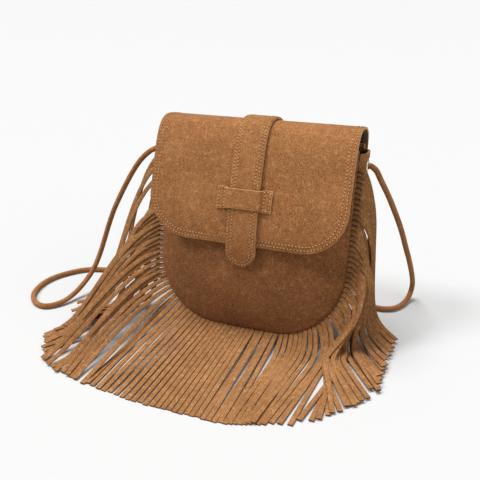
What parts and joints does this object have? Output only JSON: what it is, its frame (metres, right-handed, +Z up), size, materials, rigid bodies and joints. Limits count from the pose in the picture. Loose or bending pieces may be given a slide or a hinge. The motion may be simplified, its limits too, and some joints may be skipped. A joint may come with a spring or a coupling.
{
  "type": "fringed suede bag",
  "caption": "Small suede shoulder bag with a rounded flap, a tab through a keeper loop, long cut fringe in the front seam and a rolled cord strap.",
  "frame": {"origin": "middle of the flat underside, on the surface that the bag stands on", "axes": "+Z up, the flap's front faces -Y, +X to the right seen from the front"},
  "size_m": [0.4379, 0.2938, 0.2255],
  "materials": {
    "suede": "matte napped suede, tan",
    "lining_cloth": "matte woven, dark brown",
    "pale_brass": "polished pale gold"
  },
  "bodies": {
    "bag": {"front_panel": "suede", "back_panel": "suede", "gusset": "suede", "lining": "lining_cloth", "fringe": "suede", "eyelet_left": "pale_brass", "eyelet_right": "pale_brass", "strap": "suede", "strap_knot_left": "suede", "strap_knot_right": "suede", "snap_socket": "pale_brass"},
    "flap": {"flap": "suede", "flap_lining": "lining_cloth", "closure_tab": "suede", "keeper": "suede", "snap_stud": "pale_brass"}
  },
  "joints": [
    {"name": "flap_hinge", "type": "hinge", "parent": "bag", "child": "flap", "pos_m": [0, 0.049, 0.191], "axis": [-1, 0, 0], "range_deg": [0, 170]}
  ]
}
